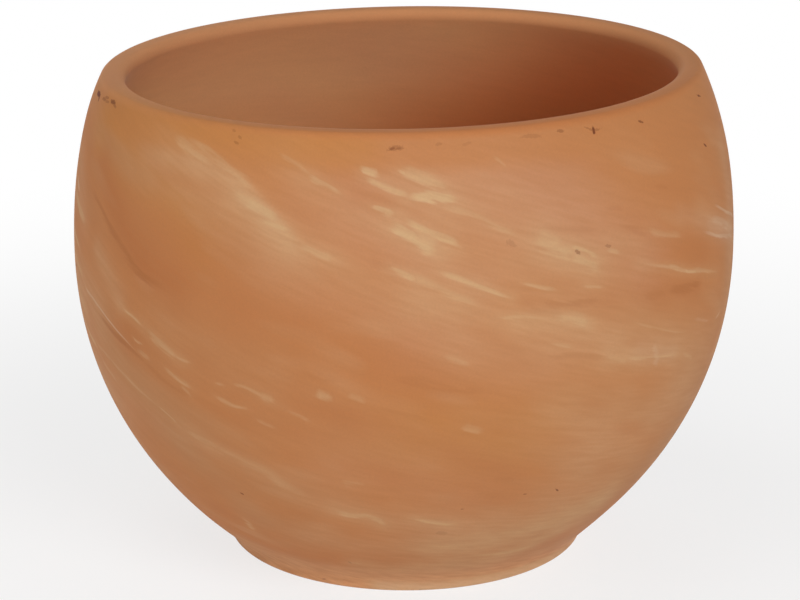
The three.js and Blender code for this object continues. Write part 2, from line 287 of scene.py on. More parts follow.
# Broad soft washes of one clay. Each row is a strength, the half width above the line and the one
# below it in millimetres, and the places that it runs through, in the same pixels.
WASHES = {
    "russet": (
        (0.80, 8, 8, (104, 165), (112, 195), (124, 230), (144, 262), (172, 286)),
        (0.30, 7, 7, (90, 150), (90, 195), (98, 235)),
        (0.40, 10, 10, (150, 250), (190, 280), (240, 300), (300, 320)),
        (0.25, 12, 12, (130, 190), (165, 225), (200, 250), (240, 272)),
        (0.35, 10, 10, (240, 320), (300, 350), (360, 372), (430, 392)),
        (0.35, 7, 7, (652, 252), (676, 254), (700, 258)),
        (0.55, 5, 5, (640, 290), (665, 290), (695, 288)),
        (0.35, 6, 6, (330, 172), (350, 185), (372, 200)),
        (0.50, 6, 6, (366, 194), (405, 208), (432, 216), (466, 232)),
        (0.45, 6, 6, (532, 303), (570, 305), (608, 300)),
        (0.25, 9, 9, (590, 262), (625, 280), (655, 285)),
        (0.30, 9, 9, (225, 388), (270, 405), (330, 410)),
    ),
    "khaki": (
        (0.55, 16, 16, (640, 330), (690, 360), (680, 420)),
        (0.45, 16, 16, (680, 420), (640, 470), (600, 500)),
        (0.60, 13, 13, (106, 335), (140, 390), (180, 440)),
        (0.45, 9, 9, (180, 440), (220, 480), (260, 520)),
        (0.15, 8, 8, (96, 130), (110, 150), (150, 165)),
        (0.30, 9, 9, (150, 165), (200, 205), (245, 240)),
        (0.25, 14, 14, (350, 440), (420, 450), (500, 450)),
        # Painted sheen along the pot's right edge in this view, greying the clay.
        (0.40, 7, 7, (728, 240), (724, 290), (712, 335)),
        (0.30, 14, 14, (170, 330), (220, 360), (270, 372)),
        (0.50, 8, 8, (240, 545), (300, 566), (360, 578)),
    ),
    "rose": (
        (0.70, 20, 20, (400, 160), (450, 185), (500, 200), (550, 215)),
        (0.60, 16, 16, (500, 160), (540, 190), (600, 230), (640, 255)),
        (0.50, 10, 10, (355, 205), (395, 240), (430, 265), (480, 285)),
        (0.35, 12, 12, (300, 205), (350, 245), (400, 262)),
        # Painted sheen: a pale pink band along the pot's left edge in this view.
        (0.22, 8, 8, (84, 120), (82, 170), (84, 220)),
        (0.30, 10, 10, (280, 270), (330, 300), (390, 320), (450, 335)),
        (0.30, 12, 12, (420, 340), (480, 350), (540, 362)),
        (0.20, 12, 12, (90, 330), (110, 380), (150, 420)),
        (0.20, 14, 14, (330, 470), (400, 480), (470, 500)),
    ),
    "buff": (
        (0.60, 2, 17, (174, 136), (202, 154), (224, 170), (248, 190), (268, 210), (284, 232)),
        (0.40, 4, 10, (292, 232), (330, 256), (372, 284), (420, 302)),
        (0.45, 6, 8, (420, 304), (468, 316), (516, 322), (570, 326), (610, 338)),
        (0.55, 5, 5, (98, 250), (108, 275), (119, 298)),
        (0.15, 8, 8, (400, 178), (420, 200), (440, 235), (470, 255)),
        (0.28, 14, 14, (470, 200), (520, 225), (570, 250), (610, 265)),
        (0.32, 12, 12, (430, 262), (480, 275), (530, 285), (580, 280)),
        (0.30, 10, 10, (560, 330), (610, 342), (660, 350), (700, 345)),
        (0.35, 6, 6, (700, 212), (716, 222), (730, 230)),
        # Painted sheen: a pale band along the pot's right edge in this view.
        (0.45, 7, 7, (722, 150), (729, 200), (731, 250), (727, 300), (716, 345)),
        (0.22, 9, 9, (285, 150), (310, 180), (345, 210), (380, 235)),
        (0.30, 9, 12, (455, 344), (510, 350), (560, 352), (610, 350)),
        (0.40, 5, 8, (330, 506), (370, 516), (420, 522), (480, 526)),
        # Partly painted light bounced from the floor, brightening the lower right of the bowl.
        (0.20, 18, 14, (420, 530), (480, 530), (560, 500)),
        (0.35, 14, 14, (560, 420), (590, 460), (560, 500)),
        (0.50, 6, 8, (244, 540), (300, 562), (360, 572), (430, 576), (500, 566), (570, 536)),
        # These two are partly painted light bounced from the floor, on the lower right of the bowl.
        (0.55, 10, 10, (420, 572), (480, 565), (530, 548), (575, 525)),
        (0.40, 12, 14, (440, 530), (500, 532), (550, 518), (600, 492)),
        (0.40, 9, 9, (310, 538), (360, 546), (420, 549), (480, 545)),
        (0.45, 14, 14, (600, 440), (640, 430), (670, 400)),
        (0.30, 4, 6, (190, 434), (240, 460), (270, 474), (300, 492)),
    ),
    "cream": (
        (0.18, 2, 8, (176, 136), (200, 150), (224, 170), (248, 192), (268, 212), (284, 232)),
        (0.22, 2, 5, (244, 196), (258, 208), (272, 220), (288, 234)),
        (0.12, 2, 4, (297, 244), (315, 252), (336, 259)),
        (0.10, 2, 3, (364, 172), (384, 182), (412, 196), (456, 200)),
        (0.14, 3, 4, (398, 170), (420, 176), (442, 186)),
        (0.16, 3, 4, (398, 228), (420, 240), (442, 250)),
        (0.22, 5, 5, (540, 240), (560, 249), (594, 262)),
        (0.12, 3, 4, (390, 271), (430, 284), (470, 299)),
        (0.10, 2, 3, (452, 275), (480, 287), (510, 298)),
        (0.24, 3, 4, (518, 319), (556, 318), (588, 323)),
        (0.16, 4, 5, (610, 356), (655, 352), (676, 352)),
        (0.10, 2, 3, (640, 264), (680, 269), (716, 272)),
        (0.16, 3, 4, (336, 510), (360, 516), (384, 523)),
        (0.12, 2, 3, (414, 519), (452, 524)),
        (0.10, 2, 3, (120, 306), (150, 332), (182, 360)),
        # These two are partly painted light bounced from the floor, on the lower right of the bowl.
        (0.42, 10, 10, (440, 548), (500, 540), (560, 520), (600, 500)),
        (0.30, 6, 6, (360, 564), (400, 568), (440, 566), (500, 556), (560, 530)),
        # Painted highlight along the foot's top edge.
        (0.70, 4, 5, (380, 586), (440, 587), (500, 579), (545, 563), (580, 543)),
    ),
    "chalk": (
        (0.14, 3, 5, (682, 213), (700, 220), (716, 226), (732, 231)),
        (0.20, 3, 4, (710, 223), (720, 227), (732, 231)),
        (0.14, 4, 4, (640, 350), (655, 352), (672, 352)),
        # Painted highlight along the foot's top edge.
        (0.40, 4, 5, (385, 586), (440, 587), (500, 579), (545, 563), (580, 543)),
    ),
    "amber": (
        (0.60, 7, 9, (110, 104), (160, 120), (200, 130), (240, 136), (300, 142), (360, 146)),
        (0.70, 12, 12, (104, 135), (120, 155), (150, 175), (180, 205), (200, 235)),
        (0.50, 14, 14, (420, 430), (480, 440), (540, 430)),
    ),
}

# ---- marks on the sides that the photograph does not show, drawn at random ----
SEED = 61
SHOWN_TURN = math.radians(78)   # the photograph shows the marks out to this azimuth
DRIFT = math.radians(19)        # the kneaded clay runs down to the right at about this slope
SLOPE_SPREAD, LOW_SLOPE = (0.45, 1.35), 0.4     # a mark's share of it, what is left at the ground
BEND, LOWEST_MARK = 0.12, 6 * MM                # BEND is a share of a mark's length
UNSEEN_WIDENING = 1.4           # how much wider an unseen wash is below its line

# ---- how the marks and zones lie and fade ----
TAPER_OUT, TAPER_IN = 0.04, 0.22        # shares of a streak's length, past its end and within
END_WIDTH = 0.6                 # share of its width that a streak keeps at its ends
WASH_REACH = 2.5                # a wash ends this many half widths out
HALO, HALO_REACH = 0.13, 2.6    # a halo's strength and half width, as shares of its streak's
BROAD_SWIRL = 22 * MM, 5 * MM   # length and width of the ground's mottling
SHORT_SWIRL = 8 * MM, 2.3 * MM
LOW_DRIFT = 0.35                # share of the clay's drift that is left at the ground
STEEP = 0.15, 0.75              # the mottling steepens between these shares of the belly's height
LINING_TILT, LINING_LEAD = 0.06, 8      # slope inside, from this many mesh rows before the lip's end
CHART_GAP, CHART_BLEND = 0.5, 0.3       # depth between the charts, cosine where one fades out
LINING_FADE = -4, 1             # mesh rows from the lip's end, for the lining's clay
EDGE_START, EDGE_END = (4, 9), (1, -3)  # mesh rows from the lip's start and end, for the painted highlight on its inner edge
FOOT_FADE = 3.6, 0.3            # the foot's paler clay, partly painted floor-bounce light, sets in between these multiples of its height
# The lining is painted redder and darker beyond a line that climbs to the right through this height on
# the axis: painted shadow of the rim, red with the light that bounces inside it.
RIM_SHADOW_HEIGHT, RIM_SHADOW_LOWEST = 155 * MM, 138 * MM
RIM_SHADOW_SLOPE, RIM_SHADOW_START, RIM_SHADOW_END = math.radians(33.7), -22 * MM, 42 * MM
FAR_START, FAR_END, FAR_SHARE = 88 * MM, 106 * MM, 0.34    # painted shade, darker again towards the +X wall
LOW_START, LOW_END, LOW_SHARE = 162 * MM, 146 * MM, 0.8    # and, less so, lower down: painted shade too
# The lip is painted palest on one side, as painted light where the lamps fall on its top and inner
# wall, and reddest in front, where its red clay is deepened as painted shade against the sheen: name,
# azimuth and strength of each tint.
LIP_TINTS = (("lit_lip", -115, 0.52), ("red_shaded_lip", 20, 0.85))
TINT_OUTSIDE, TINT_INSIDE = 2 * MM, 24 * MM     # how far down from the lip they fade out
LIT_INNER_EDGE = 0.50                # painted highlight on the lip's inner edge: strength at the back, none in front

# ---- grain ----
RUN_LENGTH, RUN_WIDTH = 16 * MM, 2.4 * MM       # of the fine runs along the kneaded clay
DEPTH_SCALE = 7.0               # noise cells per metre of the gap between the charts
GRAIN_SCALE, GRAIN_HEIGHT = 1100, 0.1 * MM
NOISE_SPAN = 0.3, 0.7           # most of a noise's values lie in here


def make_camera():
    back = Vector((0, -math.cos(CAMERA_ELEVATION), math.sin(CAMERA_ELEVATION)))
    data = bpy.data.cameras.new("camera")
    data.lens, data.sensor_width = CAMERA_LENS, CAMERA_SENSOR
    data.clip_start, data.clip_end = 0.05, 100
    camera = bpy.data.objects.new("camera", data)
    camera.location = CAMERA_AIM + back * CAMERA_DISTANCE
    camera.rotation_mode = "QUATERNION"
    camera.rotation_quaternion = (-back).to_track_quat("-Z", "Y")
    bpy.context.scene.collection.objects.link(camera)
    bpy.context.scene.camera = camera
    return camera


camera = make_camera()


def ramp(value, low, high):
    share = np.clip((value - low) / (high - low), 0, 1)
    return share * share * (3 - 2 * share)


# ---- outline as lines, arcs and smooth curves. The last number of each is its mesh rows ----

def towards(point, angle, length):
    return point[0] + length * math.cos(angle), point[1] + length * math.sin(angle)


def passed_along(points):
    """Distance along a path from its first point to each of its points."""
    return np.concatenate([[0], np.cumsum(np.linalg.norm(np.diff(points, axis=0), axis=1))])


def even(points, steps):
    """The same path with its points at even distances."""
    passed = passed_along(points)
    at = np.linspace(0, passed[-1], steps + 1)
    return np.stack([np.interp(at, passed, column) for column in points.T], 1)


def line(start, end, steps):
    return even(np.array([start, end]), steps)


def arc(centre, radius, first, last, steps):
    angle = np.linspace(first, last, steps + 1)
    return np.stack([centre[0] + radius * np.cos(angle), centre[1] + radius * np.sin(angle)], 1)


def curve(start, start_handle, end_handle, end, steps):
    t = np.linspace(0, 1, 400)[:, None]
    weights = (1 - t) ** 3, 3 * (1 - t) ** 2 * t, 3 * (1 - t) * t**2, t**3
    handles = start, start_handle, end_handle, end
    return even(sum(w * np.array(p) for w, p in zip(weights, handles)), steps)


def foot_outline():
    top = FOOT_RADIUS + FOOT_FLARE, FOOT_HEIGHT
    return [
        line((DRAIN_RADIUS, RECESS_DEPTH), (RECESS_RADIUS - RECESS_SLOPE, RECESS_DEPTH), 6),
        line((RECESS_RADIUS - RECESS_SLOPE, RECESS_DEPTH), (RECESS_RADIUS, 0), 2),
        line((RECESS_RADIUS, 0), (FOOT_RADIUS - FOOT_ROUND, 0), 4),
        arc((FOOT_RADIUS - FOOT_ROUND, FOOT_ROUND), FOOT_ROUND, -math.pi / 2, 0, 3),
        line((FOOT_RADIUS, FOOT_ROUND), top, FOOT_STEPS),
    ]


def outside_outline(lip_start):
    foot = (FOOT_RADIUS + FOOT_FLARE, FOOT_HEIGHT)
    belly = (BELLY_RADIUS, BELLY_HEIGHT)
    foot_handle = towards(foot, BOWL_START_ANGLE, BOWL_START_HANDLE)
    below, above = BELLY_HEIGHT - BOWL_BELLY_HANDLE, BELLY_HEIGHT + SHOULDER_BELLY_HANDLE
    lip_handle = towards(lip_start, -LIP_SLOPE, SHOULDER_TOP_HANDLE)
    return [
        curve(foot, foot_handle, (BELLY_RADIUS, below), belly, 76),
        curve(belly, (BELLY_RADIUS, above), lip_handle, lip_start, 42),
    ]


def lip_outline():
    outer = (LIP_OUTER_CENTRE, RIM_HEIGHT - LIP_OUTER_ROUND)
    inner = (LIP_OUTER_CENTRE - LIP_WIDTH, RIM_HEIGHT - LIP_INNER_ROUND)
    return [
        arc(outer, LIP_OUTER_ROUND, math.pi / 2 - LIP_SLOPE, math.pi / 2, 5),
        line((outer[0], RIM_HEIGHT), (inner[0], RIM_HEIGHT), 2),
        arc(inner, LIP_INNER_ROUND, math.pi / 2, 1.5 * math.pi - LIP_SLOPE, 9),
    ]


def inside_outline(lip_end):
    belly = (BELLY_RADIUS - WALL, BELLY_HEIGHT)
    lip_handle = towards(lip_end, -LIP_SLOPE, INNER_SHOULDER_HANDLE)
    above, below = BELLY_HEIGHT + INNER_SHOULDER_HANDLE, BELLY_HEIGHT - INNER_BELLY_HANDLE
    floor_handle = FLOOR_RADIUS + INNER_FLOOR_HANDLE, FLOOR_TOP
    return [
        curve(lip_end, lip_handle, (belly[0], above), belly, 24),
        curve(belly, (belly[0], below), floor_handle, (FLOOR_RADIUS, FLOOR_TOP), 20),
        line((FLOOR_RADIUS, FLOOR_TOP), (DRAIN_RADIUS, FLOOR_TOP), 6),
        line((DRAIN_RADIUS, FLOOR_TOP), (DRAIN_RADIUS, RECESS_DEPTH), 4),
    ]


def wear_round(points, corner):
    """Softens the corner at one of the points, in place."""
    first, last = corner - WORN_ROWS, corner + WORN_ROWS + 1
    for _ in range(WORN_PASSES):
        beside = points[first - 1:last - 1] + points[first + 1:last + 1]
        points[first:last] = (beside + 2 * points[first:last]) / 4


def pot_outline():
    """Points (radius, height) once round the clay, and where foot, outside and lip end in it."""
    lip = lip_outline()
    sections = foot_outline(), outside_outline(lip[0][0]), lip, inside_outline(lip[-1][-1])
    points = np.concatenate([stretch[1:] for section in sections for stretch in section])
    ends = np.cumsum([sum(len(stretch) - 1 for stretch in section) for section in sections])
    wear_round(points, ends[0] - 1)
    return points, ends


OUTLINE, (FOOT_END, OUTSIDE_END, LIP_END, _) = pot_outline()
PASSED = passed_along(OUTLINE)
FOOT_EDGE = FOOT_END - FOOT_STEPS - 1           # row of the foot's outer edge near the ground
LAST_MARKED = OUTSIDE_END + 8                   # marks stay off the rows from here on
OUTSIDE = OUTLINE[FOOT_EDGE:OUTSIDE_END]        # from that edge to the lip, by rising height


def outside_radius(height):
    return np.interp(height, OUTSIDE[:, 1], OUTSIDE[:, 0])


def lip_rise(turn, height):
    return RIM_SLANT * ramp(height, RIM_HEIGHT - SLANT_STRETCH, RIM_HEIGHT) * np.sin(turn)


def foot_shift(height):
    return FOOT_SHIFT * ramp(height, SHIFT_STRETCH, 0)


def trimmed(turn, radius, height):
    """Points of the clay as trimmed by hand, which left the lip out of level, the foot off centre.

    Near the lip a point slides along the shoulder's slope. Near the ground it moves towards +X.
    """
    rise = lip_rise(turn, height)
    shift = foot_shift(height) * ramp(radius, RECESS_RADIUS, FOOT_RADIUS - FOOT_ROUND)
    radius = radius - rise / math.tan(LIP_SLOPE)
    return np.stack([radius * np.sin(turn) + shift, -radius * np.cos(turn), height + rise], -1)


# ---- grid of the pot's points: a column for each azimuth, a row for each outline point ----
# Azimuth 0 faces the camera and grows to the right. The first column is at the back.
TURN = (np.arange(AROUND) / AROUND - 0.5) * 2 * math.pi
ROWS = len(OUTLINE)
SHAPE = (AROUND, ROWS)
COUNT = ROWS * AROUND


def outward(points):
    """Unit normals of the grid, from its neighbours round and along the outline."""
    round_it = np.roll(points, -1, 0) - np.roll(points, 1, 0)
    along_it = np.roll(points, -1, 1) - np.roll(points, 1, 1)
    normal = np.cross(round_it, along_it)
    return normal / np.linalg.norm(normal, axis=2, keepdims=True)


POINTS = trimmed(TURN[:, None], OUTLINE[:, 0], OUTLINE[:, 1])
NORMALS = outward(POINTS)


# ---- paths on the clay ----

def seen_at(pixel):
    """Azimuth and untrimmed height of the outside surface at a pixel of the photograph."""
    focal = CAMERA_LENS / CAMERA_SENSOR * PHOTO_WIDTH
    right = (pixel[0] - PHOTO_WIDTH / 2) / focal
    up = (PHOTO_HEIGHT / 2 - pixel[1]) / focal
    ray = np.array(camera.rotation_quaternion @ Vector((right, up, -1)))
    depth = np.linspace(RAY_START, RAY_END, RAY_STEPS)[:, None]
    x, y, z = (np.array(camera.location) + ray * depth).T
    x = x - foot_shift(z)
    turn = np.arctan2(x, -y)
    rise = lip_rise(turn, z)
    height = z - rise
    gap = np.hypot(x, y) + rise / math.tan(LIP_SLOPE) - outside_radius(height)
    gap[height > RIM_HEIGHT] = 1
    hit = np.argmax(gap < 0) if (gap < 0).any() else np.argmin(gap)
    return turn[hit], height[hit]


def smooth_path(corners):
    """Points at about every millimetre on a smooth path through azimuths and heights."""
    corners = np.array(corners, float)
    reach = np.hypot(np.diff(corners[:, 0]) * BELLY_RADIUS, np.diff(corners[:, 1]))
    at = np.concatenate([[0], np.cumsum(reach)])
    fine = np.linspace(0, at[-1], max(4, int(at[-1] / MM) + 1))
    slopes = np.gradient(corners, at, axis=0)
    i = np.clip(np.searchsorted(at, fine, "right") - 1, 0, len(at) - 2)
    step = (at[i + 1] - at[i])[:, None]
    t = (fine - at[i])[:, None] / step
    return (
        (2 * t**3 - 3 * t**2 + 1) * corners[i]
        + (t**3 - 2 * t**2 + t) * step * slopes[i]
        + (3 * t**2 - 2 * t**3) * corners[i + 1]
        + (t**3 - t**2) * step * slopes[i + 1]
    )


def on_clay(path):
    turn, height = path.T
    return trimmed(turn, outside_radius(height), height)


def beside_path(corners, reach):
    """Outside points within reach of a path: their indices, share of its length and offset across."""
    path = on_clay(smooth_path(corners))
    inside_box = ((POINTS > path.min(0) - reach) & (POINTS < path.max(0) + reach)).all(2)
    inside_box[:, LAST_MARKED:] = False
    near = np.flatnonzero(inside_box.ravel())
    spots, normals = POINTS.reshape(-1, 3)[near], NORMALS.reshape(-1, 3)[near]
    heading = np.gradient(path, axis=0)
    heading /= np.linalg.norm(heading, axis=1, keepdims=True)
    passed = passed_along(path)
    closest = (((spots[:, None] - path) ** 2).sum(2)).argmin(1)
    offset = spots - path[closest]
    along = passed[closest] + (offset * heading[closest]).sum(1)
    across = (offset * np.cross(normals, heading[closest])).sum(1)
    return near, along / passed[-1], across, passed[-1]


# ---- marks as values on the mesh's points ----
# A sharp mark is held as its distance from the streak's middle in half widths, its strength and
# its softness. These change evenly along a mesh edge, so a line thinner than a face stays sharp.
MARGIN = 5 * MM


def streak_values(strength, half_width, softness, corners):
    """Indices of the points by a streak, and what they hold for it."""
    half_width = half_width * MM
    near, share, across, length = beside_path(corners, half_width + 2 * MARGIN)
    ends = MARGIN / length
    zone = (np.abs(across) < half_width + MARGIN) & (share > -ends) & (share < 1 + ends)
    near, share, across = near[zone], share[zone], across[zone]
    taper = ramp(share, -TAPER_OUT, TAPER_IN) * ramp(share, 1 + TAPER_OUT, 1 - TAPER_IN)
    width = half_width * (END_WIDTH + (1 - END_WIDTH) * taper)
    lit = (np.abs(across) < half_width + MARGIN / 2) & (taper > 0)
    return near, np.stack([across / width, strength * taper * lit, softness * lit], 1)


def speck_values(strength, half_width, corners):
    """The same for a speck: distance across and along from its middle, in half widths, strength."""
    half_width = half_width * MM
    near, share, across, length = beside_path(corners, half_width + 2 * MARGIN)
    half_length = length / 2 + half_width
    along = (share - 0.5) * length
    beyond = np.maximum(np.abs(across) - half_width, np.abs(along) - half_length)
    zone = beyond < MARGIN
    lit = strength * (beyond < MARGIN / 2)
    return near[zone], np.stack([across / half_width, along / half_length, lit], 1)[zone]


def sharp_layers(marks, values_of):
    """Marks shared out over as few layers as keep them from touching one another."""
    layers, taken = [], []
    for mark in marks:
        near, values = values_of(*mark)
        free = [i for i, full in enumerate(taken) if not full[near].any()]
        if not free:
            layers.append(np.zeros((COUNT, 3)))
            taken.append(np.zeros(COUNT, bool))
            free = [len(layers) - 1]
        layers[free[0]][near] = values
        taken[free[0]][near] = True
    return layers


def wash(marks):
    """Soft fields of one clay, 0 to 1, added up so that overlaps never pass 1."""
    left = np.ones(COUNT)
    for strength, above, below, corners in marks:
        above, below = above * MM, below * MM
        near, share, across, length = beside_path(corners, WASH_REACH * max(above, below))
        beyond = np.maximum(np.maximum(-share, share - 1), 0) * length
        half_width = np.where(across > 0, above, below)
        beyond = beyond / max(above, below)
        left[near] *= 1 - strength * np.exp(-((across / half_width) ** 2) - beyond**2)
    return 1 - left


def haloes(streaks):
    """A faint wash round each streak, where its clay has smeared into the ground."""
    return [(HALO * s, HALO_REACH * w, HALO_REACH * w, corners) for s, w, _, corners in streaks]


def swirl(rng, length, width, slope):
    """Smooth random field, mean 0 and spread 1, with its features drawn out down the slope."""
    round_step = 2 * math.pi * BELLY_RADIUS / AROUND
    up_step = (PASSED[OUTSIDE_END] - PASSED[FOOT_END]) / (OUTSIDE_END - FOOT_END)
    round_rate = np.fft.fftfreq(AROUND, round_step)[:, None]
    up_rate = np.fft.fftfreq(ROWS, up_step)
    along = round_rate * math.cos(slope) - up_rate * math.sin(slope)
    across = round_rate * math.sin(slope) + up_rate * math.cos(slope)
    kept = np.exp(-2 * math.pi**2 * ((along * length) ** 2 + (across * width) ** 2))
    field = np.fft.ifft2(np.fft.fft2(rng.standard_normal(SHAPE)) * kept).real
    return field / field.std()


def shown(marks, numbers=3):
    """The same marks, with one list of azimuths and heights in place of the pixels."""
    return [(*row[:numbers], [seen_at(pixel) for pixel in row[numbers:]]) for row in marks]


def drifting(rng, count, strengths, widths, softness, lengths, lowest=14, highest=176):
    """Random marks on the unseen side, running with the kneaded clay."""
    marks = []
    for _ in range(count):
        length = rng.uniform(*lengths) * MM
        height = rng.uniform(lowest, highest) * MM
        start = SHOWN_TURN + rng.uniform(0, 1) * 2 * (math.pi - SHOWN_TURN)
        flatter = LOW_SLOPE + (1 - LOW_SLOPE) * min(1, height / BELLY_HEIGHT)
        slope = DRIFT * rng.uniform(*SLOPE_SPREAD) * flatter
        bend = rng.uniform(-BEND, BEND)
        turn = length * math.cos(slope) / outside_radius(height)
        steps = np.linspace(0, 1, 5)
        drop = length * (math.sin(slope) * steps + bend * steps * (1 - steps))
        heights = np.clip(height - drop, LOWEST_MARK, RIM_HEIGHT - COLLAR)
        turns = start + turn * steps
        corners = np.stack([turns, heights], 1)
        marks.append((rng.uniform(*strengths), rng.uniform(*widths), softness, corners))
    return marks


def unseen_streaks(rng):
    return (
        drifting(rng, 34, (0.35, 0.95), (0.5, 1.0), 0.8, (8, 42))
        + drifting(rng, 34, (0.35, 0.9), (1.1, 2.2), 0.85, (8, 30))
        + drifting(rng, 16, (0.2, 0.4), (1.8, 3.2), 1.0, (20, 60))
    )


def unseen_specks(rng):
    marks = drifting(rng, 16, (0.3, 0.9), (0.35, 0.8), 1.0, (0.8, 2.5), 10, 186)
    return [(s, w, corners) for s, w, _, corners in marks]


def unseen_washes(rng):
    """Random washes, each a little wider below its line than above it."""
    washes = {
        "buff": drifting(rng, 17, (0.3, 0.55), (5, 12), 1, (30, 90)),
        "rose": drifting(rng, 13, (0.25, 0.55), (9, 18), 1, (30, 80)),
        "russet": drifting(rng, 13, (0.25, 0.7), (6, 12), 1, (30, 80)),
        "khaki": drifting(rng, 11, (0.25, 0.5), (8, 16), 1, (30, 80)),
        "cream": drifting(rng, 14, (0.12, 0.3), (2, 4), 1, (15, 50)),
        "chalk": drifting(rng, 4, (0.15, 0.3), (3, 5), 1, (15, 30)),
        "amber": drifting(rng, 4, (0.5, 0.8), (8, 12), 1, (60, 120), 100, 180),
    }
    return {
        name: [(s, w, UNSEEN_WIDENING * w, corners) for s, w, _, corners in marks]
        for name, marks in washes.items()
    }


# ---- mesh ----

def grid_faces():
    here = np.arange(COUNT).reshape(SHAPE)
    beside, above = np.roll(here, -1, 0), np.roll(here, -1, 1)
    return np.stack([here, beside, np.roll(beside, -1, 1), above], 2).reshape(-1, 4)


def unwrap(mesh):
    """UV map: azimuth across, the outline up, with most room for the outside."""
    room = np.full(ROWS, 1.0)
    room[FOOT_END:LIP_END] = OUTSIDE_ROOM
    steps = np.concatenate([np.diff(PASSED), [RECESS_DEPTH]]) * room
    up = np.concatenate([[0], np.cumsum(steps)]) / steps.sum()
    across = np.linspace(0, 1, AROUND + 1)
    column, row = np.meshgrid(np.arange(AROUND), np.arange(ROWS), indexing="ij")
    corners = [(0, 0), (1, 0), (1, 1), (0, 1)]
    places = [np.stack([across[column + right], up[row + top]], 2) for right, top in corners]
    layer = mesh.uv_layers.new(name="OFBake")
    layer.data.foreach_set("uv", np.stack(places, 2).ravel())


def store(mesh, name, values):
    """Values on the mesh's points, as an attribute that a material reads by name."""
    values = np.asarray(values, np.float32)
    flat = values.ndim == 1
    attribute = mesh.attributes.new(name, "FLOAT" if flat else "FLOAT_VECTOR", "POINT")
    attribute.data.foreach_set("value" if flat else "vector", values.ravel())


def paint_charts(mesh):
    """Coordinates that run along and across the kneaded clay, twice, so that no seam shows."""
    up = PASSED - np.interp(BELLY_HEIGHT, OUTSIDE[:, 1], PASSED[FOOT_EDGE:OUTSIDE_END])
    high = ramp(OUTLINE[:, 1], 0, BELLY_HEIGHT)
    tilt = np.tan(DRIFT) * (LOW_DRIFT + (1 - LOW_DRIFT) * high)
    tilt[LIP_END - LINING_LEAD:] = LINING_TILT
    charts = {"front_chart": TURN, "back_chart": np.mod(TURN, 2 * math.pi) - math.pi}
    for i, (name, turn) in enumerate(charts.items()):
        along = turn[:, None] * BELLY_RADIUS * np.ones(ROWS)
        chart = np.stack([along, up + along * tilt, np.full(SHAPE, i * CHART_GAP)], 2)
        store(mesh, name, chart.reshape(-1, 3))
    share = ramp(np.cos(TURN), -CHART_BLEND, CHART_BLEND)[:, None] * np.ones(ROWS)
    store(mesh, "front_share", share.ravel())


def paint_zones(mesh):
    """Where a point lies: inside the pot, in the plain collar, on the foot, on a tinted part, and where
    painted shadow, shade and highlights go on the lining and lip.
    """
    row = np.arange(ROWS)
    inside = ramp(row - LIP_END, *LINING_FADE)
    collar = ramp(OUTLINE[:, 1] - RIM_HEIGHT + COLLAR, *COLLAR_FADE)
    foot = ramp(OUTLINE[:, 1] / FOOT_HEIGHT, *FOOT_FADE) * (row < OUTSIDE_END)
    zones = np.stack([inside, collar, foot], 1)
    store(mesh, "zones", np.broadcast_to(zones, (AROUND, ROWS, 3)).reshape(-1, 3))
    beyond_lip = np.where(row < LIP_END, PASSED[OUTSIDE_END] - PASSED, PASSED - PASSED[LIP_END])
    on_lip = ramp(beyond_lip, np.where(row < LIP_END, TINT_OUTSIDE, TINT_INSIDE), 0)
    # Painted light on one side of the lip and down its inner wall; in front, red clay deepened as
    # painted shade against the sheen.
    for name, turn, strength in LIP_TINTS:
        facing = np.clip(np.cos(TURN - math.radians(turn)), 0, 1)[:, None] ** 2
        store(mesh, name, (strength * on_lip * facing).ravel())
    # Painted shadow of the rim on the lining, beyond a line that climbs to the right.
    drop = RIM_SHADOW_HEIGHT - np.maximum(POINTS[:, :, 2], RIM_SHADOW_LOWEST)
    beyond = POINTS[:, :, 0] * math.sin(RIM_SHADOW_SLOPE) + drop * math.cos(RIM_SHADOW_SLOPE)
    store(mesh, "rim_shadow", ramp(beyond, RIM_SHADOW_START, RIM_SHADOW_END).ravel())
    # Painted shade towards the +X wall of the lining and, less so, lower down.
    far_shade = ramp(POINTS[:, :, 0], FAR_START, FAR_END)
    low = LOW_SHARE * ramp(POINTS[:, :, 2], LOW_START, LOW_END)
    store(mesh, "far_shade", FAR_SHARE * np.maximum(far_shade, low).ravel())
    # Painted highlight along the lip's inner edge, none in front.
    lit_edge = ramp(row - OUTSIDE_END, *EDGE_START) * ramp(row - LIP_END, *EDGE_END)
    store(mesh, "lit_inner_edge", (LIT_INNER_EDGE * lit_edge * np.abs(np.sin(TURN / 2))[:, None]).ravel())


def paint_swirls(mesh):
    """Mottling of the ground, which runs flatter near the foot."""
    rng = np.random.default_rng(SEED + 1)
    steep = ramp(OUTLINE[:, 1] / BELLY_HEIGHT, *STEEP)
    for name, (length, width) in (("broad_swirl", BROAD_SWIRL), ("short_swirl", SHORT_SWIRL)):
        high, low = (swirl(rng, length, width, share * DRIFT) for share in (1, LOW_DRIFT))
        field = steep * high + (1 - steep) * low
        store(mesh, name, (field / np.hypot(steep, 1 - steep)).ravel())


